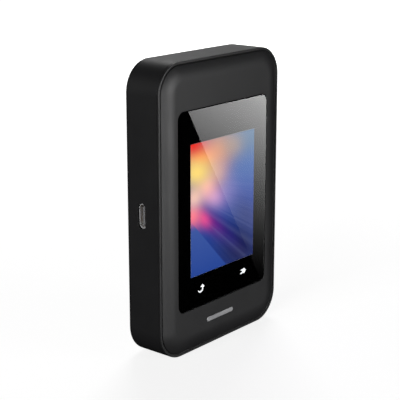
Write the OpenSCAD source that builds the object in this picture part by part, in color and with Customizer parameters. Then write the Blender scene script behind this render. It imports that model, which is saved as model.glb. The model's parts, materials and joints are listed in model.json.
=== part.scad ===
// Pocket mobile hotspot with a touch display, drawn standing on its bottom edge.
// Every sub-part is drawn lying on its back cover, x across, y up the body and z from the back
// cover (z = 0) to the glass (z = body_d), and stand() then turns it upright: front to -Y, top to +Z.

/* [Body] */
// Width of the body, side to side
body_w = 68; // [67:0.5:70]
// Height of the body, bottom to top
body_h = 107.5; // [106:0.5:110]
// Depth of the body, glass to back cover
body_d = 16.8; // [16:0.1:17.5]
// Radius of the four upright corners, seen from the front
corner_r = 11; // [9:0.5:11]
// Fillet round the edge of the back cover
back_fillet = 1.2; // [0.8:0.1:1.2]
// Thickness of the side walls
wall = 1.6; // [1.4:0.1:1.8]

/* [Front] */
// How far the rim's outer edge lies behind the glass
rim_drop = 1.9; // [1.8:0.05:2.1]
// Width of the rim's chamfer
rim_chamfer = 0.6; // [0.4:0.1:0.65]
// Height that the front panel swells from its edge to its flat middle
pillow_rise = 1.55; // [1.2:0.05:1.6]
// Width of the swollen band round the front panel
pillow_band = 6.2; // [5:0.1:6.2]
// Width of the cover glass
glass_w = 51; // [50:0.5:51.5]
// Height of the cover glass
glass_h = 73.3; // [72:0.1:73.5]
// Thickness of the cover glass
glass_t = 0.9; // [0.7:0.1:0.9]
// Height of the glass's lower edge above the bottom
glass_bottom = 16.9; // [16.5:0.1:17]
// Corner radius of the glass
glass_r = 3; // [2:0.2:4]

/* [Display] */
// Width of the lit area of the display
lit_w = 36.72; // [36:0.01:37]
// Height of the lit area of the display
lit_h = 48.96; // [48:0.01:49.2]
// Height of the lit area's lower edge above the bottom
lit_bottom = 28.9; // [28.7:0.1:29.1]
// Width of the display module
lcd_w = 42.7; // [42:0.1:43]
// Height of the display module
lcd_h = 60.3; // [60:0.1:60.6]

/* [Connector and keys] */
// Height of the USB-C socket's centre above the bottom
usb_y = 53.7; // [52:0.1:56]
// Distance of the USB-C socket's centre behind the face of the glass
usb_depth = 9.7; // [9.65:0.05:9.8]
// Height of the power key's centre above the bottom
key_y = 80; // [78:1:84]
// Travel of the power key
key_travel = 0.35; // [0.2:0.05:0.35]
// Travel of the reset key
reset_travel = 0.25; // [0.15:0.05:0.25]

/* [Power and card] */
// Width of the battery pack
battery_w = 46.5; // [45:0.5:46.6]
// Length of the battery pack with its end cap
battery_l = 65; // [62:0.5:65]
// Thickness of the SIM card
card_t = 0.67; // [0.6:0.01:0.67]

/* [Hidden] */
$fn = 64;
eps = 0.01;
mid_y = body_h / 2;
side_x = body_w / 2;

// Levels, all from the back cover's outer face
cover_t = 1.2;
cover_edge = 1.3;
wall_z0 = 1.4;
deck_z0 = 2.6;
deck_t = 0.8;
rim_edge_z = body_d - rim_drop;
rim_base_z = rim_edge_z - 0.15;
lip_top_z = rim_base_z - 0.1;
frame_z0 = body_d - 4.4;
frame_plate_t = 0.8;
ledge_z = body_d - 2.8;
panel_edge_z = body_d - pillow_rise;
groove_z = rim_edge_z + 0.1;
glass_z0 = body_d - glass_t;
ink_t = 0.1;
adhesive_t = 0.1;
seat_z = glass_z0 - ink_t - adhesive_t;
panel_shell_z = seat_z - 0.9;

// Insets from the body's outline
lip_t = 0.5;
rim_flat = 0.25;
rim_w = rim_chamfer + rim_flat;
groove_w = 0.45;
panel_inset = rim_w + groove_w;
web_w = 3;

// Circuit board, with the USB-C shell soldered to its back face
usb_w = 8.94;
usb_t = 3.26;
usb_wall = 0.3;
usb_len = 7.3;
usb_recess = 0.7;
usb_mouth_x = -side_x + usb_recess;
usb_z = body_d - usb_depth;
board_z0 = usb_z + usb_t / 2;
board_t = 1;
board_z1 = board_z0 + board_t;
board_inset = 3;

// Display stack
foam_t = 0.3;
light_t = 1;
foam_z0 = frame_z0 + frame_plate_t;
light_z0 = foam_z0 + foam_t;
lcd_z0 = light_z0 + light_t;
lcd_z1 = glass_z0 - ink_t - 0.05;
lcd_bottom = lit_bottom - 8.7;
lcd_mid_y = lcd_bottom + lcd_h / 2;
glass_mid_y = glass_bottom + glass_h / 2;
lit_mid_y = lit_bottom + lit_h / 2;
mark_y = 23.4;
mark_x = 12.3;

// Battery bay
battery_z0 = 1.5;
battery_y0 = 7.5;
cap_l = 2;
bay_w = battery_w + 0.9;
bay_y0 = 6.5;
bay_y1 = 73.5;
bay_wall = 0.8;
bay_floor_t = 0.6;
bay_floor_z = board_z0 - bay_floor_t - 0.4;
battery_z1 = bay_floor_z - 0.1;
contact_x = [-3.75, -1.25, 1.25, 3.75];

// SIM socket
sim_x = -15;
sim_mouth_y = 88;
card_w = 8.8;
card_l = 12.3;
card_y0 = sim_mouth_y - 0.8;
sim_base_t = 0.45;
sim_base_z = board_z0 - sim_base_t;
card_z0 = sim_base_z - card_t - 0.05;

// Power key and reset key
key_z = board_z0 - 0.88;
key_l = 9.5;
key_w = 2.6;
reset_x = 10;
reset_y = 92;
reset_z0 = board_z0 - 1.98;

// Screws that clamp the housing and the board to the front frame
screw_at = [for (x = [-1, 1], p = [[27.5, 8.5], [28, 68], [27.5, body_h - 8.5]]) [x * p[0], p[1]]];
screw_r = 0.7;
head_r = 1.3;
bore_r = head_r + 0.15;
head_z0 = 2.75;
head_t = 0.6;
screw_end_z = frame_z0 - 1;

black = [0.09, 0.09, 0.1];
gold = [0.85, 0.68, 0.3];
tin = [0.72, 0.73, 0.75];
amber = [0.75, 0.42, 0.12];
board_green = [0.05, 0.3, 0.17];

// ---- Shared shapes ----

// Turns a lying shape upright, front to -Y and top to +Z.
module stand() {
    translate([0, body_d / 2, 0]) rotate([90, 0, 0]) children();
}

// Extrudes a flat outline from z0 to z1.
module plate(z0, z1) {
    translate([0, 0, z0]) linear_extrude(z1 - z0) children();
}

// Rectangle with round corners, centred on the origin.
module round_rect(w, h, r) {
    union() {
        square([w - 2 * r, h], center = true);
        square([w, h - 2 * r], center = true);
        for (x = [-1, 1], y = [-1, 1])
            translate([x * (w / 2 - r), y * (h / 2 - r)]) circle(r);
    }
}

// The body's outline, moved inwards by inset.
module body_outline(inset) {
    translate([0, mid_y])
        round_rect(body_w - 2 * inset, body_h - 2 * inset, corner_r - inset);
}

// A box given by its centre in x and y and its two levels in z.
module block(x, y, w, h, z0, z1) {
    translate([x - w / 2, y - h / 2, z0]) cube([w, h, z1 - z0]);
}

// Sweeps a flat profile round the body's outline. The profile's x is the distance inwards from
// the outline and its y is the level z.
module body_sweep() {
    translate([0, mid_y, 0]) {
        for (turn = [0, 180]) rotate([0, 0, turn]) {
            edge_run(side_x, body_h / 2 - corner_r) children();
            rotate([0, 0, 90]) edge_run(mid_y, side_x - corner_r) children();
            translate([side_x - corner_r, mid_y - corner_r, 0]) corner_turn() children();
            translate([corner_r - side_x, mid_y - corner_r, 0]) rotate([0, 0, 90])
                corner_turn() children();
        }
    }
}

// The straight stretch of body_sweep(), at distance reach from the middle.
module edge_run(reach, half_len) {
    translate([reach, half_len, 0]) rotate([90, 0, 0])
        linear_extrude(2 * half_len) mirror([1, 0]) children();
}

// The quarter turn of body_sweep().
module corner_turn() {
    rotate_extrude(angle = 90) translate([corner_r, 0]) mirror([1, 0]) children();
}

// An oblong with half-round ends, long along y, as a solid from x0 to x1 centred at (y, z).
module slot_x(x0, x1, y, z, l, w) {
    translate([x0, y, z]) rotate([90, 0, 90]) linear_extrude(x1 - x0) oblong(l, w);
}

// An oblong with half-round ends, long along x.
module oblong(l, w) {
    union() {
        square([l - w, w], center = true);
        for (s = [-1, 1]) translate([s * (l - w) / 2, 0]) circle(w / 2);
    }
}

// A metal can over chips: four walls and a lid, open towards the board.
module shield_can(x, y, w, h, z1) {
    difference() {
        block(x, y, w, h, board_z1, z1);
        block(x, y, w - 0.4, h - 0.4, board_z1 - 1, z1 - 0.2);
    }
}

// ---- Front ----

// Half profile of the front panel's swollen edge, as points (inset, level).
function pillow_edge() = [for (i = [0:10]) let (t = i / 10)
    [panel_inset + pillow_band * t, panel_edge_z + pillow_rise * (1 - pow(1 - t, 2.2))]];

// Snap tabs of the front panel: [x, y, length in x, length in y, outward direction].
tab_at = concat(
    [for (s = [-1, 1], y = [22, 47, 86]) [s * (side_x - 4.1), y, 1, 5, [s, 0]]],
    [for (s = [-1, 1], x = [-15, 15]) [x, mid_y + s * (mid_y - 4.6), 5, 1, [0, s]]]);

module snap_tab(t) {
    block(t[0], t[1], t[2], t[3], frame_z0 - 0.7, panel_shell_z + eps);
    translate([t[4][0] * 0.3, t[4][1] * 0.3, 0])
        block(t[0], t[1], t[2], t[3], frame_z0 - 0.7, frame_z0 - 0.1);
}

module glass_outline(inset) {
    translate([0, glass_mid_y])
        round_rect(glass_w - 2 * inset, glass_h - 2 * inset, glass_r - inset);
}

module front_panel() color(black) stand() {
    flat_inset = panel_inset + pillow_band + 0.6;
    difference() {
        union() {
            body_sweep() polygon(concat([[panel_inset, ledge_z]], pillow_edge(),
                [[flat_inset, body_d], [flat_inset, ledge_z]]));
            plate(ledge_z, body_d) body_outline(flat_inset - 0.3);
        }
        plate(ledge_z - 1, panel_shell_z) body_outline(web_w + 0.3);
        plate(seat_z, body_d + 1) glass_outline(-0.1);
        block(0, lcd_mid_y, lcd_w + 0.6, lcd_h + 0.6, ledge_z, body_d);
        block(-14, 18.35, 9, 2.9, ledge_z, body_d);
        plate(body_d - 0.3, body_d + 1) badge_outline(0.03);
    }
    for (t = tab_at) snap_tab(t);
}

// Frame profile, from the rim that shows outside to the web that carries the front panel.
module front_frame() color([0.12, 0.12, 0.13]) stand() {
    difference() {
        union() {
            body_sweep() polygon([
                [0, rim_base_z], [0, rim_edge_z], [rim_chamfer, rim_edge_z + rim_chamfer],
                [rim_w, rim_edge_z + rim_chamfer], [rim_w, groove_z],
                [panel_inset - 0.1, groove_z], [panel_inset - 0.1, ledge_z], [web_w, ledge_z],
                [web_w, frame_z0], [lip_t + 0.05, frame_z0], [lip_t + 0.05, rim_base_z]]);
            plate(frame_z0, frame_z0 + frame_plate_t) body_outline(web_w - 0.4);
            for (p = screw_at) translate([p[0], p[1], board_z1])
                cylinder(r = 1.9, h = frame_z0 + 0.4 - board_z1);
        }
        for (p = screw_at) translate([p[0], p[1], board_z1 - 1])
            cylinder(r = screw_r + 0.03, h = screw_end_z + 1.2 - board_z1);
        for (t = tab_at) block(t[0] + t[4][0] * 0.15, t[1] + t[4][1] * 0.15,
            t[2] + 0.7, t[3] + 0.7, frame_z0 - 1, ledge_z - eps);
        block(0, 15.7, 16, 1.8, frame_z0 - 1, ledge_z);
        block(-14, 17.8, 8.2, 1.4, frame_z0 - 1, ledge_z);
    }
}

module cover_glass() color([0.1, 0.12, 0.15, 0.4]) stand()
    plate(glass_z0, body_d) glass_outline(0);

module glass_mask() color([0.02, 0.02, 0.02]) stand() difference() {
    plate(glass_z0 - ink_t, glass_z0) glass_outline(0.05);
    block(0, lit_mid_y, lit_w + 0.3, lit_h + 0.3, glass_z0 - 1, body_d);
    plate(glass_z0 - 1, body_d) key_icons(0.03);
}

// An arrow head that points up on a tail that curls to the left, about 3 across.
module bent_arrow(grow) {
    bend_r = 0.9;
    half_w = 0.3 + grow;
    difference() {
        circle(bend_r + half_w);
        circle(bend_r - half_w);
        translate([-3, 0]) square([6, 3]);
        rotate(-25) translate([-4, -3]) square([3.5, 6]);
    }
    translate([bend_r - half_w, -eps]) square([2 * half_w, 0.6]);
    translate([bend_r, 0])
        polygon([[-1 - grow, 0.5 - grow], [1 + grow, 0.5 - grow], [0, 1.7 + grow]]);
}

module key_icons(grow) {
    translate([-mark_x - 0.6, mark_y]) bent_arrow(grow);
    translate([mark_x - 0.4, mark_y + 0.6]) rotate(-90) mirror([1, 0]) bent_arrow(grow);
}

module touch_key_icons() color("white") stand()
    plate(glass_z0 - ink_t, glass_z0) key_icons(0);

module glass_adhesive() color([0.15, 0.15, 0.16]) stand() difference() {
    plate(seat_z, seat_z + adhesive_t) glass_outline(0.3);
    block(0, lcd_mid_y, lcd_w + 1, lcd_h + 1, seat_z - 1, body_d);
}

// The badge is a plain pill-shaped bar.
module badge_outline(grow) {
    translate([-1.9, 10.4]) oblong(15.5 + 2 * grow, 1.7 + 2 * grow);
}

module badge_inlay() color(tin) stand()
    plate(body_d - 0.3, body_d) badge_outline(0);

// ---- Display ----

module lcd_panel() color([0.15, 0.25, 0.65]) stand()
    block(0, lcd_mid_y, lcd_w, lcd_h, lcd_z0, lcd_z1);

module lcd_backlight() color([0.85, 0.86, 0.88]) stand()
    block(0, lcd_mid_y, lcd_w, lcd_h, light_z0, lcd_z0);

module lcd_foam() color([0.2, 0.2, 0.2]) stand() difference() {
    block(0, lcd_mid_y, lcd_w, lcd_h, foam_z0, light_z0);
    block(0, lcd_mid_y, lcd_w - 6, lcd_h - 6, foam_z0 - 1, light_z0 + 1);
}

flex_t = 0.15;
connector_t = 1;
connector_top = board_z1 + connector_t;

// A flat cable that leaves at y_in and level top, drops at y_fold and lands on its connector.
module folded_flex(x, w, y_in, top, y_fold, y_end) {
    block(x, (y_in + y_fold) / 2, w, y_in - y_fold, top - flex_t, top);
    block(x, y_fold + flex_t / 2, w, flex_t, connector_top, top);
    block(x, (y_fold + y_end) / 2, w, y_end - y_fold, connector_top, connector_top + flex_t);
}

module display_flex() color(amber) stand()
    folded_flex(0, 14, lcd_bottom, light_z0 + 0.4, 15.3, 23.5);

module touch_flex() color(amber) stand()
    folded_flex(-14, 7, 17.9, seat_z, 17.5, 23.5);

module display_connector() color([0.9, 0.88, 0.8]) stand()
    block(0, 22, 15, 3.2, board_z1, connector_top);

module touch_connector() color([0.9, 0.88, 0.8]) stand()
    block(-14, 22, 7.6, 3, board_z1, connector_top);

// ---- Circuit board ----

module main_board() color(board_green) stand() difference() {
    plate(board_z0, board_z1) body_outline(board_inset);
    for (p = screw_at) translate([p[0], p[1], board_z0 - 1]) cylinder(r = 0.85, h = 3);
}

shield_z1 = board_z1 + 1.6;
modem_at = [9, 74];
radio_at = [-17, 88];
power_at = [-16, 64];

module modem_shield() color(tin) stand()
    shield_can(modem_at[0], modem_at[1], 30, 24, shield_z1);

module radio_shield() color(tin) stand()
    shield_can(radio_at[0], radio_at[1], 18, 16, shield_z1);

module power_shield() color(tin) stand()
    shield_can(power_at[0], power_at[1], 16, 14, shield_z1);

module modem_chip() color([0.12, 0.12, 0.12]) stand()
    block(modem_at[0] - 6, modem_at[1], 12, 12, board_z1, board_z1 + 1);

module memory_chip() color([0.12, 0.12, 0.12]) stand()
    block(modem_at[0] + 7.5, modem_at[1], 9, 8, board_z1, board_z1 + 0.9);

module radio_chip() color([0.12, 0.12, 0.12]) stand()
    block(radio_at[0], radio_at[1], 8, 8, board_z1, board_z1 + 0.85);

module power_chip() color([0.12, 0.12, 0.12]) stand()
    block(power_at[0], power_at[1], 6, 6, board_z1, board_z1 + 0.85);

module heat_sheet() color([0.25, 0.25, 0.27]) stand()
    block(3, 74, 44, 28, frame_z0 - 0.2, frame_z0);

module thermal_pad() color([0.55, 0.65, 0.8]) stand()
    block(modem_at[0], modem_at[1], 24, 20, shield_z1, frame_z0 - 0.2);

// Small chip parts in three rows between the display's connector and the shields.
module board_passives() color([0.6, 0.5, 0.38]) stand()
    for (row = [0:2], i = [0:8])
        block(-16 + 4 * i, 34 + 6 * row, row == 1 ? 1.6 : 1, 0.8, board_z1, board_z1 + 0.6);

// ---- USB-C socket ----

module usb_c_shell() color(tin) stand() difference() {
    slot_x(usb_mouth_x, usb_mouth_x + usb_len, usb_y, usb_z, usb_w, usb_t);
    slot_x(usb_mouth_x - 1, usb_mouth_x + usb_len + 1, usb_y, usb_z,
        usb_w - 2 * usb_wall, usb_t - 2 * usb_wall);
}

tongue_w = 6.69;
tongue_t = 0.7;
insert_l = 1.4;
tongue_x0 = usb_mouth_x + 0.6;
insert_x0 = usb_mouth_x + usb_len - insert_l;

module usb_c_insert() color([0.05, 0.05, 0.05]) stand() {
    slot_x(insert_x0, insert_x0 + insert_l, usb_y, usb_z,
        usb_w - 2 * usb_wall - 0.02, usb_t - 2 * usb_wall - 0.02);
    translate([tongue_x0, usb_y - tongue_w / 2, usb_z - tongue_t / 2])
        cube([insert_x0 + eps - tongue_x0, tongue_w, tongue_t]);
}

// Twelve contact strips on each face of the tongue.
module usb_c_contacts() color(gold) stand()
    for (side = [-1, 1], i = [0:11])
        translate([tongue_x0 + 0.4, usb_y + (i - 5.5) * 0.5 - 0.125,
            usb_z + side * (tongue_t / 2 + 0.025) - 0.025])
            cube([insert_x0 - tongue_x0 - 0.4, 0.25, 0.05]);

// ---- Housing ----

module deck_window(grow) {
    translate([sim_x - 6.5 - grow, 75.2 - grow]) square([13 + 2 * grow, 26.3 + 2 * grow]);
}

// A lightning bolt beside the USB-C socket, engraved as a charging sign.
module charge_sign() {
    polygon([[0.25, 1.6], [-0.85, -0.25], [-0.1, -0.25], [-0.25, -1.6], [0.85, 0.25], [0.1, 0.25]]);
}

module rear_housing() color(black) stand() difference() {
    union() {
        body_sweep() polygon([[0, wall_z0], [0, lip_top_z], [lip_t, lip_top_z],
            [lip_t, frame_z0], [wall, frame_z0], [wall, wall_z0]]);
        plate(deck_z0, deck_z0 + deck_t) body_outline(wall - 0.1);
        block(0, (bay_y0 + bay_y1) / 2, bay_w + 2 * bay_wall, bay_y1 - bay_y0 + 2 * bay_wall,
            deck_z0, bay_floor_z + bay_floor_t);
        plate(deck_z0, card_z0 - 0.3) deck_window(0.8);
        for (p = screw_at) translate([p[0], p[1], deck_z0])
            cylinder(r = 2.1, h = board_z0 - deck_z0);
        translate([reset_x, reset_y, deck_z0]) cylinder(r = 1.6, h = reset_z0 - 0.35 - deck_z0);
    }
    block(0, (bay_y0 + bay_y1) / 2, bay_w, bay_y1 - bay_y0, deck_z0 - 1, bay_floor_z);
    block(0, bay_y1 + 0.4, 12.6, 2, 3.6, bay_floor_z + 2);
    plate(deck_z0 - 1, board_z0) deck_window(0);
    for (p = screw_at) translate([p[0], p[1], 0]) {
        cylinder(r = screw_r + 0.12, h = board_z0 + 1);
        cylinder(r = bore_r, h = head_z0 + head_t);
    }
    translate([reset_x, reset_y, 0]) cylinder(r = 0.75, h = board_z0);
    slot_x(-side_x - 1, -side_x + wall + 0.5, usb_y, usb_z, usb_w + 0.5, usb_t + 0.5);
    slot_x(side_x - wall - 0.5, side_x + 1, key_y, key_z, key_l + 0.25, key_w + 0.25);
    slot_x(side_x - 0.4, side_x + 1, key_y, key_z, key_l + 5.5, key_w + 2.8);
    slot_x(side_x - 0.6, side_x + 1, 14, wall_z0, 9, 1.2);
    translate([-side_x + 0.1, usb_y, usb_z - 3.8]) rotate([90, 0, -90]) linear_extrude(1)
        charge_sign();
}

module back_cover() color(black) stand() {
    body_sweep() union() {
        translate([back_fillet, back_fillet]) intersection() {
            circle(back_fillet);
            translate([-back_fillet, -back_fillet]) square(back_fillet);
        }
        translate([0, back_fillet]) square([back_fillet, cover_edge - back_fillet]);
        translate([back_fillet, 0]) square([1.4, cover_edge]);
        translate([2.4, 0]) square([4, cover_t]);
    }
    plate(0, cover_t) body_outline(6);
    // Locating lip, broken where the wall has its nail notch
    difference() {
        body_sweep() translate([wall + 0.15, cover_t - 0.05]) square([0.8, 1.2]);
        block(side_x, 14, 8, 12, cover_edge, 5);
    }
}

// ---- Keys ----

module power_button() color([0.14, 0.14, 0.15]) stand() {
    slot_x(side_x - wall - 0.2, side_x - 0.15, key_y, key_z, key_l, key_w);
    slot_x(side_x - wall - 0.7, side_x - wall - 0.05, key_y, key_z, key_l + 2, key_w + 2);
}

plunger_x0 = side_x - 3.7;

module power_plunger() color([0.85, 0.85, 0.82]) stand()
    translate([plunger_x0, key_y - 0.7, key_z - 0.4])
        cube([side_x - wall - 0.7 - plunger_x0, 1.4, 0.8]);

module power_switch() color([0.2, 0.2, 0.2]) stand() difference() {
    block(side_x - 4.9, key_y, 3, 4.6, board_z0 - 1.9, board_z0);
    translate([plunger_x0 - key_travel - 0.05, key_y - 0.8, key_z - 0.5]) cube([2, 1.6, 1]);
}

module reset_button() color([0.75, 0.35, 0.12]) stand()
    translate([reset_x, reset_y, reset_z0]) cylinder(r = 0.8, h = 1);

module reset_switch() color([0.2, 0.2, 0.2]) stand() difference() {
    block(reset_x, reset_y, 4, 3.4, board_z0 - 1.5, board_z0);
    translate([reset_x, reset_y, reset_z0 - 0.75])
        cylinder(r = 0.85, h = 1.8 + reset_travel);
}

// ---- Battery ----

battery_y1 = battery_y0 + battery_l;
case_l = battery_l - cap_l;
case_mid_y = battery_y0 + case_l / 2;

module battery_case() color([0.2, 0.21, 0.23]) stand()
    block(0, case_mid_y, battery_w, case_l, battery_z0, battery_z1);

module battery_end_cap() color([0.08, 0.08, 0.08]) stand()
    block(0, battery_y1 - cap_l / 2, battery_w, cap_l, battery_z0, battery_z1);

module battery_label() color([0.88, 0.89, 0.9]) stand()
    block(0, case_mid_y, battery_w - 3, case_l - 6, battery_z0 - 0.08, battery_z0);

module battery_pads() color(gold) stand()
    for (x = contact_x) block(x, battery_y1 + 0.05, 1.6, 0.1, 3.4, 5.6);

module battery_connector() color([0.1, 0.1, 0.1]) stand()
    block(0, 76.4, 12, 3.6, 4, board_z0);

module battery_springs() color(gold) stand()
    for (x = contact_x) block(x, 73.7, 0.9, 1.8, 4.2, 4.8);

// ---- SIM ----

sim_mid_y = sim_mouth_y + 6.5;
sim_w = 9.2;

module sim_socket() color([0.12, 0.12, 0.12]) stand()
    block(sim_x, sim_mid_y, 11.5, 13, sim_base_z, board_z0);

module sim_cage() color(tin) stand() difference() {
    block(sim_x, sim_mid_y - 0.2, sim_w + 0.5, 12.6, card_z0 - 0.26, sim_base_z);
    block(sim_x, sim_mid_y - 1, sim_w, 13.6, card_z0 - 0.06, sim_base_z + 1);
    block(sim_x, sim_mouth_y, 5, 3, 0, card_z0);
}

module sim_contacts() color(gold) stand()
    for (x = [-1, 1], y = [0:2])
        block(sim_x + x * 2.4, card_y0 + 3.6 + 2.54 * y, 1.2, 1.6, sim_base_z - 0.04, sim_base_z);

module sim_card() color([0.93, 0.93, 0.9]) stand() difference() {
    block(sim_x, card_y0 + card_l / 2, card_w, card_l, card_z0, card_z0 + card_t - 0.02);
    translate([sim_x + card_w / 2, card_y0 + card_l, card_z0 + 0.5]) rotate([0, 0, 45])
        cube([2.4, 2.4, 3], center = true);
}

module sim_card_pads() color(gold) stand()
    for (x = [-1, 1], y = [0:2])
        block(sim_x + x * 2.1, card_y0 + 3.6 + 2.54 * y, 2.2, 2.2,
            card_z0 + card_t - 0.02, card_z0 + card_t);

// ---- Antennas ----

antenna_t = 0.2;
antenna_z0 = 4;
antenna_z1 = frame_z0 - 0.4;

// A thin film of length l with slots from alternate edges, lying along x and facing y.
module antenna_film(l) {
    difference() {
        translate([-l / 2, 0, antenna_z0]) cube([l, antenna_t, antenna_z1 - antenna_z0]);
        for (i = [-2:2]) translate([i * l / 6 - 0.5, -1, antenna_z0 + (i % 2 == 0 ? -1 : 2)])
            cube([1, 3, 6.2]);
    }
}

module top_antenna() color(amber) stand()
    translate([0, body_h - wall - antenna_t, 0]) antenna_film(36);

module bottom_antenna() color(amber) stand()
    translate([0, wall, 0]) antenna_film(36);

module left_antenna() color(amber) stand()
    translate([antenna_t - side_x + wall, 78, 0]) rotate([0, 0, 90]) antenna_film(28);

module right_antenna() color(amber) stand()
    translate([side_x - wall, 42, 0]) rotate([0, 0, 90]) antenna_film(36);

// ---- Screws ----

module chassis_screw() {
    difference() {
        translate([0, 0, head_z0]) cylinder(r = head_r, h = head_t);
        for (a = [0, 90]) rotate([0, 0, a])
            translate([-0.75, -0.15, head_z0 - 1]) cube([1.5, 0.3, 1.3]);
    }
    translate([0, 0, head_z0 + head_t - eps])
        cylinder(r = screw_r, h = screw_end_z - head_z0 - head_t);
}

module chassis_screws() color([0.3, 0.3, 0.32]) stand()
    for (p = screw_at) translate([p[0], p[1], 0]) chassis_screw();

front_panel();
front_frame();
rear_housing();
back_cover();
cover_glass();
glass_mask();
touch_key_icons();
glass_adhesive();
badge_inlay();
lcd_panel();
lcd_backlight();
lcd_foam();
display_flex();
touch_flex();
display_connector();
touch_connector();
main_board();
modem_shield();
radio_shield();
power_shield();
modem_chip();
memory_chip();
radio_chip();
power_chip();
thermal_pad();
heat_sheet();
board_passives();
usb_c_shell();
usb_c_insert();
usb_c_contacts();
power_button();
power_plunger();
power_switch();
reset_button();
reset_switch();
battery_case();
battery_end_cap();
battery_label();
battery_pads();
battery_connector();
battery_springs();
sim_socket();
sim_cage();
sim_contacts();
sim_card();
sim_card_pads();
top_antenna();
bottom_antenna();
left_antenna();
right_antenna();
chassis_screws();
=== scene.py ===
"""Looks of the pocket mobile hotspot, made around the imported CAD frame.

Everything is in metres in the row frame: +X right, front to -Y, +Z up. The front's sections are
written in millimetres as (inset, level): inset is measured inwards from an outline, and level is
measured forwards from the back cover's outer face.
"""
import json
import math

import bmesh
import bpy
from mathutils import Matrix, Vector


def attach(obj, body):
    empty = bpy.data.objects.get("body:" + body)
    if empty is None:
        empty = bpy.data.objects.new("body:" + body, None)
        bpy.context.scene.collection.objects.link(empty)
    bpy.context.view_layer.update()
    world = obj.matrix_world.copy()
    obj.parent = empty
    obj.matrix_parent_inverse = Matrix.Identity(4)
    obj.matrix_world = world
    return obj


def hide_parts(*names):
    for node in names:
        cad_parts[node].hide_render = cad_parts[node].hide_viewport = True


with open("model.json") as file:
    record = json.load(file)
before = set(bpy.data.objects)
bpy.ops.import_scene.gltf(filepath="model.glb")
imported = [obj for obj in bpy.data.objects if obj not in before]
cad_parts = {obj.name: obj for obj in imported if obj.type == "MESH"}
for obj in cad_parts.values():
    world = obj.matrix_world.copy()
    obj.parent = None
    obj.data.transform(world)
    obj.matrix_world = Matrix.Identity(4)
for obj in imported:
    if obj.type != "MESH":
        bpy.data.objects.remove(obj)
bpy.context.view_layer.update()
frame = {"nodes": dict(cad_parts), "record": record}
nodes_of = frame["nodes"]

MM = 0.001
BODY_DEPTH = 16.8
CORNER_STEPS = 18

# Outlines seen from the front: half width, half height, corner radius, height of the middle (mm)
BODY = (34.0, 53.75, 11.0, 53.75)
GLASS = (25.5, 36.65, 3.0, 53.55)
WINDOW = (21.65, 30.45, 0.4, 50.35)
MODULE = (21.35, 30.15, 0.4, 50.35)
LIT = (18.36, 24.48, 0.2, 53.38)

# Levels of the front's layers (mm)
GLASS_BACK = BODY_DEPTH - 0.9
BOND = 0.03
INK_BACK = GLASS_BACK - 0.1
INK_FRONT = GLASS_BACK + BOND
LIT_FRONT = INK_FRONT - 0.01
ICON_FRONT = INK_FRONT + 0.01
SEAT = BODY_DEPTH - 1.1
SHELL_BACK = BODY_DEPTH - 2.0
LEDGE = BODY_DEPTH - 2.8
PANEL_EDGE = BODY_DEPTH - 1.55
MODULE_FRONT = BODY_DEPTH - 1.05
MODULE_BACK = BODY_DEPTH - 2.3
PLATE_FRONT = BODY_DEPTH - 3.6
PLATE_BACK = BODY_DEPTH - 4.4
RIM_BASE = BODY_DEPTH - 2.05
RIM_FRONT = BODY_DEPTH - 1.3
GROOVE = BODY_DEPTH - 1.7

# The front panel (mm): its outer and inner walls, its swollen edge and its gap to the glass
PANEL_INSET = 1.3
PANEL_INNER = 3.3
PILLOW_BAND = 6.2
PILLOW_RISE = 1.55
PILLOW_POWER = 2.2
PILLOW_STEPS = 24
GLASS_GAP = 0.12

# The ink's inset from the glass's edge, and its gap round the lit picture (mm)
INK_INSET = 0.12
LIT_GAP = 0.1

# The frame's insets (mm): the spigot in the housing, the rim, the groove's inner wall, the plate
SPIGOT_INSET = 0.55
RIM_WIDTH = 0.85
GROOVE_INSET = 1.2
PLATE_INSET = 3.0
POST_PLACES = ((27.5, 8.5), (28.0, 68.0), (27.5, 99.0))
POST_RADIUS = 1.9
POST_FOOT = BODY_DEPTH - 7.07
POST_TOP = PLATE_BACK + 0.1

# The badge (mm): centre as (x, z), length and width, the slack round it, and its levels
BADGE_AT = (-1.9, 10.4)
BADGE_SIZE = (15.5, 1.7)
BADGE_SLACK = 0.06
BADGE_BACK = BODY_DEPTH - 0.3
BADGE_FRONT = BODY_DEPTH - 0.03

# The camera: lens in mm, place and aim in metres
CAMERA_LENS = 104.39
CAMERA_AT = (-0.32026, -0.26188, 0.16624)
CAMERA_AIM = (-0.01375, -0.0084, 0.05713)


# ---- Camera ----

def add_camera():
    """The photo's viewing angle and lens."""
    data = bpy.data.cameras.new("camera")
    data.lens = CAMERA_LENS
    data.sensor_width = 36.0
    data.clip_start = 0.01
    camera = bpy.data.objects.new("camera", data)
    camera.location = CAMERA_AT
    aim = Vector(CAMERA_AIM) - camera.location
    camera.rotation_euler = aim.to_track_quat("-Z", "Y").to_euler()
    bpy.context.scene.collection.objects.link(camera)
    bpy.context.scene.camera = camera


# ---- Node helpers ----

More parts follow.
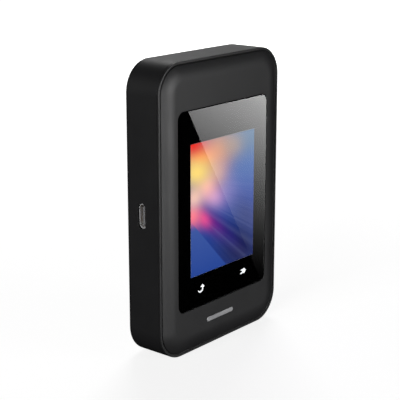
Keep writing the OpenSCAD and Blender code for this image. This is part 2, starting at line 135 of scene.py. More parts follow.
class Tree:
    """Short calls for building a material's node tree."""

    def __init__(self, tree):
        self.tree = tree

    def node(self, kind, **settings):
        made = self.tree.nodes.new(kind)
        for key, value in settings.items():
            setattr(made, key, value)
        return made

    def link(self, source, target):
        """Joins a socket to the target, or sets the target to a plain value."""
        if hasattr(source, "is_linked"):
            self.tree.links.new(source, target)
        else:
            target.default_value = source

    def math(self, operation, *values, clamp=False):
        made = self.node("ShaderNodeMath", operation=operation, use_clamp=clamp)
        for socket, value in zip(made.inputs, values):
            self.link(value, socket)
        return made.outputs[0]

    def ramp(self, value, low, high, to_low=0.0, to_high=1.0, smooth=False):
        """Maps low to high onto to_low to to_high, and holds the value at both ends."""
        made = self.node("ShaderNodeMapRange")
        made.interpolation_type = "SMOOTHSTEP" if smooth else "LINEAR"
        for name, v in (("Value", value), ("From Min", low), ("From Max", high),
                        ("To Min", to_low), ("To Max", to_high)):
            self.link(v, made.inputs[name])
        return made.outputs["Result"]

    def mix(self, share, a, b, blend="MIX"):
        made = self.node("ShaderNodeMix", data_type="RGBA", blend_type=blend)
        self.link(share, made.inputs[0])
        self.link(a, made.inputs[6])
        self.link(b, made.inputs[7])
        return made.outputs[2]

    def noise(self, place, scale, detail=2.0, roughness=0.5):
        made = self.node("ShaderNodeTexNoise")
        self.link(place, made.inputs["Vector"])
        made.inputs["Scale"].default_value = scale
        made.inputs["Detail"].default_value = detail
        made.inputs["Roughness"].default_value = roughness
        return made.outputs["Fac"]

    def place(self, stretch=(1, 1, 1)):
        """Object coordinates in metres, stretched."""
        coordinates = self.node("ShaderNodeTexCoord")
        mapping = self.node("ShaderNodeMapping")
        mapping.inputs["Scale"].default_value = stretch
        self.tree.links.new(coordinates.outputs["Object"], mapping.inputs["Vector"])
        return mapping.outputs["Vector"]

    def axes(self):
        """The three object coordinates, one by one."""
        split = self.node("ShaderNodeSeparateXYZ")
        self.tree.links.new(self.place(), split.inputs[0])
        return split.outputs[0], split.outputs[1], split.outputs[2]


def shade(colour, factor):
    """A colour made lighter or darker by a factor."""
    return tuple(min(1.0, c * factor) for c in colour[:3]) + (1.0,)


def srgb(red, green, blue):
    """A screen colour of 0 to 255 as linear light."""
    def channel(value):
        value /= 255
        return value / 12.92 if value <= 0.04045 else ((value + 0.055) / 1.055) ** 2.4
    return (channel(red), channel(green), channel(blue), 1.0)


BROAD_GRAIN = 90.0


def finish(name, colour, roughness, metallic=0.0, grain=2500.0, relief=0.004, mottling=0.06,
           spread=0.04, stretch=(1, 1, 1), specular=0.5):
    """A moulded, plated or printed finish. grain is the fine noise per metre, relief its height
    in mm, mottling the share by which the colour varies and spread that of the roughness."""
    material = bpy.data.materials.new(name)
    material.use_nodes = True
    tree = Tree(material.node_tree)
    shader = material.node_tree.nodes["Principled BSDF"]
    place = tree.place(stretch)
    fine = tree.noise(place, grain, 3.0, 0.6)
    broad = tree.noise(place, BROAD_GRAIN, 3.0, 0.6)
    tint = tree.mix(broad, shade(colour, 1 - mottling), shade(colour, 1 + mottling))
    speck = tree.ramp(fine, 0.3, 0.7, 1 - mottling, 1 + mottling)
    tree.link(tree.mix(1.0, tint, speck, "MULTIPLY"), shader.inputs["Base Color"])
    tree.link(tree.ramp(broad, 0.3, 0.7, roughness - spread, roughness + spread),
              shader.inputs["Roughness"])
    shader.inputs["Metallic"].default_value = metallic
    shader.inputs["Specular IOR Level"].default_value = specular
    bump = tree.node("ShaderNodeBump")
    bump.inputs["Distance"].default_value = relief * MM
    tree.link(fine, bump.inputs["Height"])
    tree.link(bump.outputs["Normal"], shader.inputs["Normal"])
    return material


# ---- Special materials ----

SCREEN_STRENGTH = 1.08

# Where the display's beams fan out from (mm from its middle), the angles of its darker wedge and
# of its one sharp ray in degrees, and how strongly the beams and the ray show
FAN_FOOT = (-39.0, 18.0)
WEDGE_ANGLE = -46.0
RAY_ANGLE = -28.0
BEAM_SHARE = 0.08
RAY_SHARE = 0.08

# The wallpaper's spots of light: centre, size, turn, share and screen colour
GLOWS = (
    ((10.0, -19.5), (14.0, 9.5), -38.0, 1.0, (26, 30, 70)),
    ((2.0, -12.5), (11.0, 3.4), -42.0, 0.9, (42, 32, 114)),
    ((-5.0, -7.5), (6.5, 3.2), -42.0, 1.0, (88, 34, 130)),
    ((-11.0, -4.0), (4.6, 2.5), -40.0, 1.0, (218, 66, 142)),
    ((-17.5, -1.5), (5.2, 4.2), -30.0, 1.0, (252, 122, 142)),
    ((1.0, 4.0), (8.0, 6.0), -24.0, 0.6, (138, 126, 192)),
    ((14.0, -8.5), (10.0, 6.0), -38.0, 0.8, (22, 40, 108)),
    ((-5.5, 3.5), (5.5, 3.6), -30.0, 0.9, (206, 156, 206)),
    ((-3.0, 20.0), (8.5, 7.0), -10.0, 0.95, (190, 130, 96)),
    ((5.5, 20.5), (6.0, 4.0), -10.0, 0.6, (160, 132, 110)),
    ((-3.5, 12.0), (6.0, 5.0), -30.0, 0.9, (190, 142, 146)),
    ((-9.5, 7.5), (5.2, 4.6), -24.0, 0.95, (250, 176, 182)),
    ((-16.5, 5.0), (5.0, 4.0), 0.0, 0.9, (248, 200, 186)),
    ((-13.0, 19.0), (9.0, 4.0), -8.0, 1.0, (248, 152, 100)),
    ((-15.0, 14.0), (8.8, 5.6), -14.0, 1.0, (255, 220, 122)),
    ((-17.5, 24.5), (8.0, 4.2), -10.0, 1.0, (236, 52, 40)),
)

# Printed bands across the battery label, as heights in metres
LABEL_BANDS = ((0.0565, 0.0625), (0.0165, 0.0172))


def glass_finish():
    """Clear polished glass with the faintest green cast."""
    material = bpy.data.materials.new("cover_glass")
    material.use_nodes = True
    tree = Tree(material.node_tree)
    shader = material.node_tree.nodes["Principled BSDF"]
    shader.inputs["Transmission Weight"].default_value = 1.0
    shader.inputs["IOR"].default_value = 1.5
    shader.inputs["Roughness"].default_value = 0.0
    cast = tree.noise(tree.place(), 60.0, 3.0)
    tree.link(tree.mix(cast, (0.96, 0.98, 0.975, 1), (0.99, 1.0, 0.995, 1)),
              shader.inputs["Base Color"])
    return material


def emissive(name, base):
    """A matt glowing material with its tree and its shader. Its emission colour isn't set here."""
    material = bpy.data.materials.new(name)
    material.use_nodes = True
    shader = material.node_tree.nodes["Principled BSDF"]
    shader.inputs["Base Color"].default_value = base
    shader.inputs["Roughness"].default_value = 0.6
    shader.inputs["Specular IOR Level"].default_value = 0.0
    shader.inputs["Emission Strength"].default_value = SCREEN_STRENGTH
    return material, Tree(material.node_tree), shader


def white_ink_finish():
    """The touch keys' back-lit white ink."""
    material, tree, shader = emissive("white_ink", (0.8, 0.8, 0.8, 1))
    glow = tree.noise(tree.place(), 900.0)
    tree.link(tree.mix(glow, (0.9, 0.93, 0.97, 1), (1, 1, 1, 1)), shader.inputs["Emission Color"])
    return material


def blob(tree, u, v, centre, size, turn):
    """A soft oval spot of light: 1 in the middle, 0 outside, its long axis turned in degrees."""
    c, s = math.cos(math.radians(turn)), math.sin(math.radians(turn))
    du = tree.math("SUBTRACT", u, centre[0])
    dv = tree.math("SUBTRACT", v, centre[1])
    along = tree.math("DIVIDE", tree.math("ADD", tree.math("MULTIPLY", du, c),
                                          tree.math("MULTIPLY", dv, s)), size[0])
    across = tree.math("DIVIDE", tree.math("SUBTRACT", tree.math("MULTIPLY", dv, c),
                                           tree.math("MULTIPLY", du, s)), size[1])
    square = tree.math("ADD", tree.math("MULTIPLY", along, along),
                       tree.math("MULTIPLY", across, across))
    return tree.math("POWER", math.e, tree.math("MULTIPLY", square, -1.0))


def wallpaper_finish():
    """The lit display: an abstract fan of light beams, in mm from the middle of the display."""
    material, tree, shader = emissive("display_cell", (0.01, 0.01, 0.012, 1))
    x, _, z = tree.axes()
    u = tree.math("MULTIPLY", x, 1000.0)
    v = tree.math("SUBTRACT", tree.math("MULTIPLY", z, 1000.0), LIT[3])
    fan_u = tree.math("SUBTRACT", u, FAN_FOOT[0])
    fan_v = tree.math("SUBTRACT", v, FAN_FOOT[1])
    angle = tree.math("DEGREES", tree.math("ARCTAN2", fan_v, fan_u))
    beams = tree.node("ShaderNodeTexNoise", noise_dimensions="1D")
    beams.inputs["Scale"].default_value = 0.32
    beams.inputs["Detail"].default_value = 4.0
    tree.link(angle, beams.inputs["W"])
    streak = tree.ramp(beams.outputs["Fac"], 0.42, 0.7)

    colour = tree.mix(tree.ramp(v, -24.0, -2.0, smooth=True), srgb(36, 58, 132),
                      srgb(34, 70, 156))
    colour = tree.mix(tree.ramp(v, -2.0, 12.0, smooth=True), colour, srgb(18, 84, 158))
    colour = tree.mix(tree.ramp(v, 11.0, 22.0, smooth=True), colour, srgb(34, 92, 134))
    for centre, size, turn, share, tone in GLOWS:
        spot = tree.math("MULTIPLY", blob(tree, u, v, centre, size, turn), share, clamp=True)
        colour = tree.mix(spot, colour, srgb(*tone))
    edge = tree.ramp(angle, WEDGE_ANGLE + 0.3, WEDGE_ANGLE - 0.3)
    wedge = tree.math("MULTIPLY", edge, tree.ramp(v, -3.0, -8.0, smooth=True))
    wedge_tone = tree.mix(tree.ramp(v, -8.0, -24.0), srgb(60, 86, 158), srgb(40, 70, 148))
    colour = tree.mix(wedge, colour, wedge_tone)
    ray = tree.math("MULTIPLY", tree.ramp(angle, RAY_ANGLE - 0.5, RAY_ANGLE + 0.2),
                    tree.ramp(angle, RAY_ANGLE + 8.0, RAY_ANGLE))
    beam = tree.math("MULTIPLY", streak, tree.ramp(angle, WEDGE_ANGLE, WEDGE_ANGLE + 8.0))
    beam = tree.math("MULTIPLY", beam, tree.ramp(angle, -8.0, -16.0))
    beam = tree.math("ADD", tree.math("MULTIPLY", beam, BEAM_SHARE),
                     tree.math("MULTIPLY", ray, RAY_SHARE))
    beam = tree.math("MULTIPLY", beam, tree.ramp(u, -14.0, -4.0))
    colour = tree.mix(beam, colour, srgb(166, 178, 232))
    tree.link(colour, shader.inputs["Emission Color"])
    return material


def print_over(material, tree, share, colour):
    """Lays a colour over a finish's base colour, by share."""
    socket = material.node_tree.nodes["Principled BSDF"].inputs["Base Color"]
    tree.link(tree.mix(share, socket.links[0].from_socket, colour), socket)


def label_finish():
    """A plain battery label: pale film with a broad dark band and a thin one."""
    material = finish("label_film", (0.62, 0.63, 0.64), 0.38, grain=1800.0, relief=0.002)
    tree = Tree(material.node_tree)
    _, _, z = tree.axes()
    bands = [tree.math("MULTIPLY", tree.math("GREATER_THAN", z, low),
                       tree.math("LESS_THAN", z, high)) for low, high in LABEL_BANDS]
    print_over(material, tree, tree.math("MAXIMUM", *bands), (0.05, 0.055, 0.06, 1))
    return material


def board_finish():
    """Green solder mask with faint copper tracks under it."""
    material = finish("board_laminate", (0.012, 0.09, 0.045), 0.32, grain=3000.0, relief=0.003)
    tree = Tree(material.node_tree)
    tracks = tree.node("ShaderNodeTexBrick")
    tree.link(tree.place(), tracks.inputs["Vector"])
    tracks.inputs["Scale"].default_value = 260.0
    tracks.inputs["Mortar Size"].default_value = 0.03
    tracks.inputs["Color1"].default_value = (0, 0, 0, 1)
    tracks.inputs["Color2"].default_value = (0, 0, 0, 1)
    tracks.inputs["Mortar"].default_value = (1, 1, 1, 1)
    print_over(material, tree, tree.math("MULTIPLY", tracks.outputs["Color"], 0.5),
               (0.05, 0.2, 0.08, 1))
    return material


def flex_finish():
    """Amber film over fine copper lines."""
    material = finish("flex_film", (0.36, 0.13, 0.02), 0.3, grain=2200.0, relief=0.002)
    tree = Tree(material.node_tree)
    lines = tree.node("ShaderNodeTexWave", bands_direction="X")
    tree.link(tree.place(), lines.inputs["Vector"])
    lines.inputs["Scale"].default_value = 500.0
    print_over(material, tree, tree.ramp(lines.outputs["Fac"], 0.45, 0.6, 0.0, 0.6),
               (0.6, 0.28, 0.08, 1))
    return material


def make_materials():
    """One material for each of the record's material slots, by the slot's name."""
    made = {
        "cover_glass": glass_finish(),
        "white_ink": white_ink_finish(),
        "display_cell": wallpaper_finish(),
        "label_film": label_finish(),
        "board_laminate": board_finish(),
        "flex_film": flex_finish(),
    }
    plain = {
        "shell_plastic": dict(colour=(0.0175, 0.0175, 0.0185), roughness=0.44, grain=4200.0,
                              relief=0.006, mottling=0.05, spread=0.03),
        "frame_plastic": dict(colour=(0.022, 0.022, 0.023), roughness=0.38, grain=5000.0,
                              relief=0.004, mottling=0.05, spread=0.03),
        "black_ink": dict(colour=(0.0016, 0.0016, 0.0018), roughness=0.6, grain=1500.0,
                          relief=0.0, specular=0.0),
        "adhesive_foam": dict(colour=(0.02, 0.02, 0.02), roughness=0.9, grain=3500.0,
                              relief=0.05, mottling=0.2),
        "badge_metal": dict(colour=(0.66, 0.66, 0.68), roughness=0.34, metallic=0.6,
                            grain=1500.0, relief=0.002, stretch=(1, 12, 12)),
        "backlight_film": dict(colour=(0.75, 0.75, 0.77), roughness=0.25, grain=800.0,
                               relief=0.003),
        "connector_plastic": dict(colour=(0.62, 0.58, 0.46), roughness=0.5, relief=0.005),
        "shield_steel": dict(colour=(0.55, 0.55, 0.56), roughness=0.32, metallic=1.0,
                             grain=1600.0, relief=0.003, stretch=(1, 6, 6)),
        "chip_resin": dict(colour=(0.016, 0.016, 0.017), roughness=0.55, grain=5000.0,
                           relief=0.006, mottling=0.15),
        "chip_ceramic": dict(colour=(0.30, 0.2, 0.12), roughness=0.45, mottling=0.2),
        "thermal_silicone": dict(colour=(0.18, 0.3, 0.5), roughness=0.8, grain=1500.0,
                                 relief=0.02, mottling=0.12),
        "graphite_film": dict(colour=(0.05, 0.05, 0.055), roughness=0.35, metallic=0.5,
                              grain=1200.0, relief=0.01, mottling=0.15),
        "port_steel": dict(colour=(0.88, 0.88, 0.89), roughness=0.36, metallic=0.25,
                           grain=1800.0, relief=0.002, stretch=(1, 5, 5)),
        "port_plastic": dict(colour=(0.30, 0.30, 0.31), roughness=0.48, grain=3000.0,
                             relief=0.004, mottling=0.1),
        "gold_plate": dict(colour=(0.78, 0.52, 0.18), roughness=0.24, metallic=1.0,
                           grain=2000.0, relief=0.002),
        "key_plastic": dict(colour=(0.024, 0.024, 0.025), roughness=0.36, grain=5000.0,
                            relief=0.004, mottling=0.05),
        "plunger_plastic": dict(colour=(0.55, 0.48, 0.34), roughness=0.45, relief=0.004),
        "battery_can": dict(colour=(0.06, 0.062, 0.068), roughness=0.4, metallic=0.6,
                            grain=900.0, relief=0.006, mottling=0.08),
        "card_plastic": dict(colour=(0.74, 0.74, 0.71), roughness=0.4, grain=2200.0,
                             relief=0.003, mottling=0.04),
        "screw_steel": dict(colour=(0.10, 0.10, 0.105), roughness=0.34, metallic=1.0,
                            grain=2600.0, relief=0.004, mottling=0.15),
    }
    for slot, settings in plain.items():
        made[slot] = finish(slot, **settings)
    return made


# ---- Meshes ----

def outline(shape, inset, level):
    """A loop of points round an outline moved inwards by inset, at a level (mm)."""
    half_w, half_h, radius, mid_z = shape
    half_w, half_h, radius = half_w - inset, half_h - inset, max(radius - inset, 0.01)
    loop = []
    for quarter, (sx, sz) in enumerate(((1, 1), (-1, 1), (-1, -1), (1, -1))):
        for step in range(CORNER_STEPS + 1):
            a = math.pi / 2 * (quarter + step / CORNER_STEPS)
            loop.append((sx * (half_w - radius) + radius * math.cos(a),
                         BODY_DEPTH / 2 - level,
                         mid_z + sz * (half_h - radius) + radius * math.sin(a)))
    return loop


def fillet(shape, inset, level, radius, arrive, leave, steps=4):
    """Loops that round a section's corner. arrive and leave are the section's directions there,
    as (inset, level), and radius is how far the rounding reaches along each."""
    loops = []
    for i in range(steps + 1):
        t = i / steps
        back, ahead = (1 - t) ** 2 * radius, t ** 2 * radius
        loops.append(outline(shape, inset - arrive[0] * back + leave[0] * ahead,
                             level - arrive[1] * back + leave[1] * ahead))
    return loops


def new_piece(name, bm, material, smooth=True):
    """A mesh object from bm, whose points are in mm, with its normals weighted by face area."""
    bmesh.ops.recalc_face_normals(bm, faces=bm.faces)
    bmesh.ops.scale(bm, vec=(MM, MM, MM), verts=bm.verts)
    mesh = bpy.data.meshes.new(name)
    bm.to_mesh(mesh)
    bm.free()
    for polygon in mesh.polygons:
        polygon.use_smooth = smooth
    piece = bpy.data.objects.new(name, mesh)
    bpy.context.scene.collection.objects.link(piece)
    mesh.materials.append(material)
    if smooth:
        weigh_normals(piece)
    return piece


def weigh_normals(piece):
    """Keeps flat faces flat beside rounded edges."""
    normals = piece.modifiers.new("normals", "WEIGHTED_NORMAL")
    normals.weight = 80
    normals.keep_sharp = True


def loft(loops, closed):
    """Quads between each loop and the next, and either back to the first or a cap at each end."""
    bm = bmesh.new()
    rings = [[bm.verts.new(p) for p in loop] for loop in loops]
    pairs = list(zip(rings, rings[1:]))
    if closed:
        pairs.append((rings[-1], rings[0]))
    for a, b in pairs:
        count = len(a)
        for i in range(count):
            j = (i + 1) % count
            bm.faces.new((a[i], a[j], b[j], b[i]))
    if not closed:
        bm.faces.new(rings[0])
        bm.faces.new(rings[-1])
    return bm


def prism(outline_points, level0, level1, edge=0.0):
    """A flat outline of (x, z) points made solid between two levels, its front edge rounded."""
    def ring(inset, level):
        return [(x, BODY_DEPTH / 2 - level, z) for x, z in shrink(outline_points, inset)]
    loops = [ring(0, level0)]
    if edge:
        for i in range(5):
            a = math.pi / 2 * i / 4
            loops.append(ring(edge * (1 - math.cos(a)), level1 - edge * (1 - math.sin(a))))
    else:
        loops.append(ring(0, level1))
    return loft(loops, closed=False)


MITRE_LIMIT = 0.35


def shrink(points, inset):
    """Moves an anticlockwise outline inwards by inset."""
    if not inset:
        return list(points)
    moved = []
    count = len(points)
    for i, (x, z) in enumerate(points):
        px, pz = points[i - 1]
        nx, nz = points[(i + 1) % count]
        a = Vector((x - px, z - pz)).normalized()
        b = Vector((nx - x, nz - z)).normalized()
        inward = Vector((-a.y, a.x)) + Vector((-b.y, b.x))
        inward = inward.normalized() / max(MITRE_LIMIT, math.sqrt((1 + a.dot(b)) / 2))
        moved.append((x + inward.x * inset, z + inward.y * inset))
    return moved


def pill(centre, length, width, steps=12):
    """An anticlockwise oblong with half-round ends, long along x."""
    r = width / 2
    points = []
    for side, start in ((1, -90), (-1, 90)):
        for i in range(steps + 1):
            a = math.radians(start + 180 * i / steps)
            points.append((centre[0] + side * (length / 2 - r) + r * math.cos(a),
                           centre[1] + r * math.sin(a)))
    return points


def cut(piece, cutter):
    """Takes the cutter out of the piece for good, and removes the cutter."""
    boolean = piece.modifiers.new("cut", "BOOLEAN")
    boolean.object = cutter
    boolean.operation = "DIFFERENCE"
    boolean.solver = "EXACT"
    piece.modifiers.remove(piece.modifiers["normals"])
    graph = bpy.context.evaluated_depsgraph_get()
    mesh = bpy.data.meshes.new_from_object(piece.evaluated_get(graph))
    piece.modifiers.clear()
    piece.data = mesh
    bpy.data.objects.remove(cutter)
    weigh_normals(piece)


# A section's directions, as (inset, level)
UP, DOWN, IN, OUT = (0, 1), (0, -1), (1, 0), (-1, 0)


def front_shell(material):
    """The front panel: its swollen edge, the flat middle, the glass's seat and the underside."""
    slope = math.hypot(PILLOW_BAND, PILLOW_POWER * PILLOW_RISE)
    swell = (PILLOW_BAND / slope, PILLOW_POWER * PILLOW_RISE / slope)
    loops = fillet(BODY, PANEL_INSET, LEDGE, 0.06, OUT, UP, 2)
    loops += fillet(BODY, PANEL_INSET, PANEL_EDGE, 0.14, UP, swell)
    for i in range(1, PILLOW_STEPS + 1):
        t = i / PILLOW_STEPS
        loops.append(outline(BODY, PANEL_INSET + PILLOW_BAND * t,
                             PANEL_EDGE + PILLOW_RISE * (1 - (1 - t) ** PILLOW_POWER)))
    loops += fillet(GLASS, -GLASS_GAP, BODY_DEPTH, 0.1, IN, DOWN)
    loops += fillet(GLASS, -GLASS_GAP, SEAT, 0.05, DOWN, IN, 2)
    loops += fillet(WINDOW, 0, SEAT, 0.06, IN, DOWN, 2)
    loops.append(outline(WINDOW, 0, SHELL_BACK))
    loops.append(outline(BODY, PANEL_INNER, SHELL_BACK))
    loops += fillet(BODY, PANEL_INNER, LEDGE, 0.06, DOWN, OUT, 2)
    piece = new_piece("front_shell", loft(loops, closed=True), material)
    hollow = pill(BADGE_AT, *(size + BADGE_SLACK for size in BADGE_SIZE))
    well = new_piece("badge_well", prism(hollow, BADGE_BACK, BODY_DEPTH + 1), material,
                     smooth=False)
    cut(piece, well)
    return piece


def badge(material):
    """A plain pill in the front's well, where the photo has lettering."""
    return new_piece("badge", prism(pill(BADGE_AT, *BADGE_SIZE), BADGE_BACK, BADGE_FRONT, 0.12),
                     material)


def rim_frame(material):
    """The rim that shows outside the groove, and the web and plate behind the front panel."""
    loops = fillet(BODY, SPIGOT_INSET, PLATE_BACK, 0.1, OUT, UP, 2)
    loops += fillet(BODY, SPIGOT_INSET, RIM_BASE, 0.03, UP, OUT, 2)
    loops += fillet(BODY, 0, RIM_BASE, 0.05, OUT, UP, 2)
    loops += fillet(BODY, 0, RIM_FRONT, 0.3, UP, IN)
    loops += fillet(BODY, RIM_WIDTH, RIM_FRONT, 0.1, IN, DOWN)
    loops += fillet(BODY, RIM_WIDTH, GROOVE, 0.05, DOWN, IN, 2)
    loops += [outline(BODY, GROOVE_INSET, GROOVE), outline(BODY, GROOVE_INSET, LEDGE),
              outline(BODY, PLATE_INSET, LEDGE), outline(BODY, PLATE_INSET, PLATE_FRONT)]
    bm = loft(loops, closed=False)
    for side in (-1, 1):
        for x, z in POST_PLACES:
            boss(bm, side * x, z, POST_RADIUS, POST_FOOT, POST_TOP)
    return new_piece("rim_frame", bm, material)


def boss(bm, x, z, radius, level0, level1, bevel=0.1, sides=32):
    """A round screw post with a bevelled foot, added to bm."""
    rings = []
    for r, level in ((radius, level1), (radius, level0 + bevel), (radius - bevel, level0)):
        rings.append([bm.verts.new((x + r * math.cos(math.tau * i / sides),
                                    BODY_DEPTH / 2 - level,
                                    z + r * math.sin(math.tau * i / sides)))
                      for i in range(sides)])
    for a, b in zip(rings, rings[1:]):
        for i in range(sides):
            j = (i + 1) % sides
            bm.faces.new((a[i], a[j], b[j], b[i]))
    bm.faces.new(rings[0])
    bm.faces.new(rings[-1])


def glass_slab(material):
    """The cover glass, its front edge rounded."""
    loops = fillet(GLASS, 0, GLASS_BACK, 0.06, OUT, UP, 2)
    loops += fillet(GLASS, 0, BODY_DEPTH, 0.28, UP, IN, 6)
    return new_piece("glass_slab", loft(loops, closed=False), material)


def ink_border(material):
    """The black border. Its front lies just inside the glass, as printed ink that wets it."""
    loops = [outline(GLASS, INK_INSET, INK_BACK), outline(GLASS, INK_INSET, INK_FRONT),
             outline(LIT, -LIT_GAP, INK_FRONT), outline(LIT, -LIT_GAP, INK_BACK)]
    return new_piece("ink_border", loft(loops, closed=True), material)


def display(material, edge_material):
    """The display module, with its lit face bonded to the back of the glass."""
    loops = fillet(MODULE, 0, MODULE_BACK, 0.1, OUT, UP, 2)
    loops += fillet(MODULE, 0, MODULE_FRONT, 0.1, UP, IN, 2)
    loops += [outline(LIT, 0, MODULE_FRONT), outline(LIT, 0, LIT_FRONT)]
    piece = new_piece("display", loft(loops, closed=False), edge_material)
    piece.data.materials.append(material)
    front = min(p.center.y for p in piece.data.polygons)
    for polygon in piece.data.polygons:
        if polygon.center.y < front + 0.5 * BOND * MM:
            polygon.material_index = 1
    return piece


def ribbon(path, widths):
    """The outline of a stroke along path, with its width at each point."""
    left, right = [], []
    for i, (x, z) in enumerate(path):
        ax, az = path[max(i - 1, 0)]
        bx, bz = path[min(i + 1, len(path) - 1)]
        along = Vector((bx - ax, bz - az)).normalized()
        reach = widths[i] / 2
        left.append((x - along.y * reach, z + along.x * reach))
        right.append((x + along.y * reach, z - along.x * reach))
    return right + left[::-1]


# Where the two touch keys' icons stand, as (x, z) in mm
HOOK_AT = (-12.35, 23.4)
FORKED_AT = (12.3, 23.5)


def touch_icons(material):
    """Two bent arrows: a hook that turns up, and a forked one that points to the right."""
    turns = [math.radians(a) for a in range(-170, 1, 10)]
    hook = [(-0.65 + 1.28 * math.cos(a), -0.15 + 0.98 * math.sin(a)) for a in turns]
    hook.append((0.63, 0.7))
    hook_widths = [0.2 + 0.45 * min(1.0, i / 8) for i in range(len(hook))]
    hook_head = [(-0.7, 0.62), (1.75, 0.38), (0.6, 1.6)]
    forked = [(1.8, 0.1), (0.6, 1.3), (0.4, 0.95), (-0.8, 0.95), (-1.7, 0.7), (-0.7, 0.45),
              (-0.1, 0.1), (-0.7, -0.2), (-1.7, -0.5), (-1.6, -0.85), (-0.5, -0.8), (0.4, -0.6),
              (0.65, -1.0)]
    shapes = ((HOOK_AT, ribbon(hook, hook_widths)), (HOOK_AT, hook_head), (FORKED_AT, forked))
    whole = bmesh.new()
    for (x0, z0), shape in shapes:
        stroke = prism([(x0 + x, z0 + z) for x, z in shape], INK_BACK, ICON_FRONT)
        mesh = bpy.data.meshes.new("stroke")
        stroke.to_mesh(mesh)
        stroke.free()
        whole.from_mesh(mesh)
        bpy.data.meshes.remove(mesh)
    return new_piece("touch_icons", whole, material, smooth=False)


# ---- Carried-over CAD nodes ----

# How far each node's edges are rounded, in mm
ROUNDING = {
    "rear_housing": 0.05, "back_cover": 0.1, "power_button": 0.3, "usb_c_shell": 0.08,
    "usb_c_insert": 0.08, "battery_case": 0.5, "battery_end_cap": 0.3, "chassis_screws": 0.08,
    "sim_card": 0.04, "sim_card_pads": 0.0, "sim_contacts": 0.0, "usb_c_contacts": 0.0,
    "battery_label": 0.0, "battery_pads": 0.02, "lcd_foam": 0.0, "glass_adhesive": 0.0,
    "heat_sheet": 0.0, "display_flex": 0.03, "touch_flex": 0.03, "sim_cage": 0.04,
    "top_antenna": 0.03, "bottom_antenna": 0.03, "left_antenna": 0.03, "right_antenna": 0.03,
}
USUAL_ROUNDING = 0.08
WELD_REACH = 1e-6
FLAT_ANGLE = 0.002
SHARP_ANGLE = math.radians(35)


def dress(node, material):
    """Gives a CAD node its finish, and rounds its edges with modifiers."""
    piece = nodes_of[node]
    if not piece.material_slots:
        piece.data.materials.append(material)
    for place in piece.material_slots:
        place.material = material
    width = ROUNDING.get(node, USUAL_ROUNDING)
    if not width:
        return
    weld = piece.modifiers.new("weld", "WELD")
    weld.merge_threshold = WELD_REACH
    flat = piece.modifiers.new("flat", "DECIMATE")
    flat.decimate_type = "DISSOLVE"
    flat.angle_limit = FLAT_ANGLE
    edges = piece.modifiers.new("edges", "BEVEL")
    edges.width = width * MM
    edges.segments = 3
    edges.limit_method = "ANGLE"
    edges.angle_limit = SHARP_ANGLE
    edges.use_clamp_overlap = True
    weigh_normals(piece)


# ---- Stage ----

FLOOR_RADIUS = 4.0
FLOOR_NEAR, FLOOR_FAR = 0.1, 0.8
FLOOR_DIM = 0.8
DOME = 0.1

# In metres and watts
LIGHTS = (
    # name, place, width, height, power
    ("front_light", (0.35, -0.85, 0.05), 0.4, 0.4, 3.5),
    ("front_left_light", (-0.18, -0.93, 0.1), 0.24, 0.2, 0.4),
    ("floor_bounce_light", (-0.2, -0.9, -0.1), 0.24, 0.2, 1.6),
    ("left_light", (-0.9, -0.1, 0.3), 0.5, 0.5, 4.1),
    ("high_rear_light", (0.7, 0.5, 0.9), 0.5, 0.5, 3.9),
    ("rear_right_light", (0.45, 0.7, 0.3), 0.5, 0.5, 0.17),
    ("rear_left_light", (-0.5, 0.8, 0.25), 0.6, 0.6, 0.2),
    ("low_rear_light", (0.75, 0.55, 0.055), 0.5, 0.1, 5.0),
)

# The glare panel stands this far in front of the glass, and is drawn by what it covers on the
# glass as seen in the photo. The eye is the camera's place mirrored in the glass's face. In mm.
GLARE_GAP = 28.0
GLARE_OUTLINE = ((-20.4, 90.4), (23.6, 16.65), (30.0, 16.65), (30.0, 94.0), (-20.4, 94.0))
MIRRORED_EYE = Vector((-320.3, 245.1, 166.2))

# Its tone on the glass: its value at one place, and the rise per mm across and up
GLARE_PLACE = (21.5, 23.0)
GLARE_TONE = 0.085
GLARE_LEAST = 0.02
GLARE_RISE = (0.0040, 0.0091)
GLARE_POWER = 2.5
GLARE_GAIN = 0.94
GLARE_REFLECTANCE = 0.063


def area_light(name, place, width, height, power, receivers):
    """A soft rectangle of light, unseen by the camera, that faces the middle of the body."""
    data = bpy.data.lights.new(name, "AREA")
    data.shape = "RECTANGLE"
    data.size = width
    data.size_y = height
    data.energy = power
    light = bpy.data.objects.new(name, data)
    light.location = place
    aim = Vector((0, 0, BODY[3] * MM)) - light.location
    light.rotation_euler = aim.to_track_quat("-Z", "Y").to_euler()
    light.visible_camera = False
    light.light_linking.receiver_collection = receivers
    bpy.context.scene.collection.objects.link(light)


def add_floor():
    """A pale floor with a painted glow: its emission is dimmer near the body and brightens to
    white away from it.
    """
    bm = bmesh.new()
    bmesh.ops.create_circle(bm, cap_ends=True, segments=96, radius=FLOOR_RADIUS)
    mesh = bpy.data.meshes.new("floor")
    bm.to_mesh(mesh)
    bm.free()
    floor = bpy.data.objects.new("floor", mesh)
    bpy.context.scene.collection.objects.link(floor)
    floor.visible_glossy = False
    floor.visible_diffuse = False
    floor.visible_shadow = False
    material = bpy.data.materials.new("floor")
    material.use_nodes = True
    shader = material.node_tree.nodes["Principled BSDF"]
    shader.inputs["Base Color"].default_value = (0.5, 0.5, 0.5, 1)
    shader.inputs["Roughness"].default_value = 1.0
    shader.inputs["Specular IOR Level"].default_value = 0.0
    shader.inputs["Emission Color"].default_value = (1, 1, 1, 1)
    tree = Tree(material.node_tree)
    reach = tree.node("ShaderNodeVectorMath", operation="LENGTH")
    tree.link(tree.place(), reach.inputs[0])
    # Painted light: a glow, not the lamps, makes the floor white; it is dimmer near the body and
    # full strength away from it
    tree.link(tree.ramp(reach.outputs["Value"], FLOOR_NEAR, FLOOR_FAR, FLOOR_DIM, 1.0,
                        smooth=True), shader.inputs["Emission Strength"])
    mesh.materials.append(material)


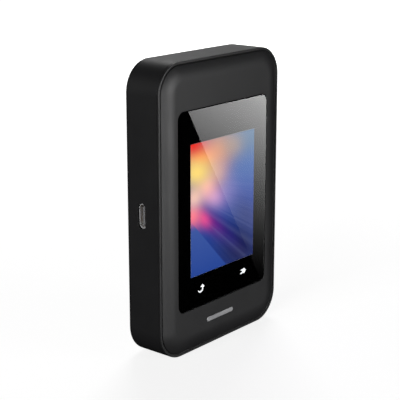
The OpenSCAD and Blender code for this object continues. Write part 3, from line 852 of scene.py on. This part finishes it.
def add_world():
    """White to the camera. To everything else a dim dome overhead, dark below the horizon."""
    world = bpy.data.worlds.new("studio")
    world.use_nodes = True
    bpy.context.scene.world = world
    tree = Tree(world.node_tree)
    seen = tree.node("ShaderNodeBackground")
    seen.inputs["Color"].default_value = (1, 1, 1, 1)
    dome = world.node_tree.nodes["Background"]
    split = tree.node("ShaderNodeSeparateXYZ")
    tree.link(tree.node("ShaderNodeTexCoord").outputs["Generated"], split.inputs[0])
    path = tree.node("ShaderNodeLightPath")
    tree.link(tree.ramp(split.outputs[2], 0.0, 0.8, 0.0, DOME), dome.inputs["Strength"])
    both = tree.node("ShaderNodeMixShader")
    tree.link(path.outputs["Is Camera Ray"], both.inputs[0])
    tree.link(dome.outputs[0], both.inputs[1])
    tree.link(seen.outputs[0], both.inputs[2])
    tree.link(both.outputs[0], world.node_tree.nodes["World Output"].inputs["Surface"])


def add_glare(glass):
    """A graded light panel that only the cover glass reflects, with one slanting edge."""
    spread = 1 + GLARE_GAP / (MIRRORED_EYE.y + BODY_DEPTH / 2)
    bm = bmesh.new()
    corners = []
    for x, z in GLARE_OUTLINE:
        on_glass = Vector((x, -BODY_DEPTH / 2, z))
        corners.append(bm.verts.new((MIRRORED_EYE + spread * (on_glass - MIRRORED_EYE)) * MM))
    bm.faces.new(corners)
    mesh = bpy.data.meshes.new("glare_panel")
    bm.to_mesh(mesh)
    bm.free()
    panel = bpy.data.objects.new("glare_panel", mesh)
    bpy.context.scene.collection.objects.link(panel)
    for kind in ("visible_camera", "visible_diffuse", "visible_transmission",
                 "visible_volume_scatter", "visible_shadow"):
        setattr(panel, kind, False)
    receivers = bpy.data.collections.new("glare_receivers")
    receivers.objects.link(glass)
    panel.light_linking.receiver_collection = receivers
    material = bpy.data.materials.new("glare_panel")
    material.use_nodes = True
    tree = Tree(material.node_tree)
    for old in list(material.node_tree.nodes):
        material.node_tree.nodes.remove(old)
    x, _, z = tree.axes()
    # From the panel back to the glass, where the brightness rises towards the upper right
    on_x = tree.math("ADD", tree.math("MULTIPLY", x, 1000.0 / spread),
                     MIRRORED_EYE.x * (1 - 1 / spread))
    on_z = tree.math("ADD", tree.math("MULTIPLY", z, 1000.0 / spread),
                     MIRRORED_EYE.z * (1 - 1 / spread))
    across = tree.math("MULTIPLY", tree.math("SUBTRACT", on_x, GLARE_PLACE[0]), GLARE_RISE[0])
    upward = tree.math("MULTIPLY", tree.math("SUBTRACT", on_z, GLARE_PLACE[1]), GLARE_RISE[1])
    tone = tree.math("ADD", tree.math("ADD", across, upward), GLARE_TONE)
    tone = tree.math("MAXIMUM", tone, GLARE_LEAST)
    strength = tree.math("MULTIPLY", tree.math("POWER", tone, GLARE_POWER),
                         GLARE_GAIN / GLARE_REFLECTANCE)
    glow = tree.node("ShaderNodeEmission")
    tree.link(strength, glow.inputs["Strength"])
    out = tree.node("ShaderNodeOutputMaterial")
    tree.link(glow.outputs[0], out.inputs["Surface"])
    mesh.materials.append(material)


def add_lights(glass):
    """Soft lights for everything but the glass, which would show each as a pale square."""
    receivers = bpy.data.collections.new("light_receivers")
    receivers.objects.link(glass)
    receivers.collection_objects[0].light_linking.link_state = "EXCLUDE"
    for name, place, width, height, power in LIGHTS:
        area_light(name, place, width, height, power, receivers)


# ---- The object ----

def build():
    """Makes the camera and every piece. Returns the cover glass, which the lights need."""
    add_camera()
    materials = make_materials()
    slot_of = {p["node"]: p["material_slot"] for p in frame["record"]["subparts"]}
    glass = glass_slab(materials["cover_glass"])
    pieces = (
        (front_shell(materials["shell_plastic"]), "front_panel"),
        (rim_frame(materials["frame_plastic"]), "front_frame"),
        (badge(materials["badge_metal"]), "badge_inlay"),
        (glass, "cover_glass"),
        (ink_border(materials["black_ink"]), "glass_mask"),
        (display(materials["display_cell"], materials["backlight_film"]), "lcd_panel"),
        (touch_icons(materials["white_ink"]), "touch_key_icons"),
    )
    for piece, node in pieces:
        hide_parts(node)
        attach(piece, "chassis")
    replaced = {node for _, node in pieces}
    for node in nodes_of:
        if node not in replaced:
            dress(node, materials[slot_of[node]])
    return glass


bpy.context.scene.view_settings.view_transform = "Standard"
the_glass = build()
add_world()
add_floor()
add_lights(the_glass)
add_glare(the_glass)
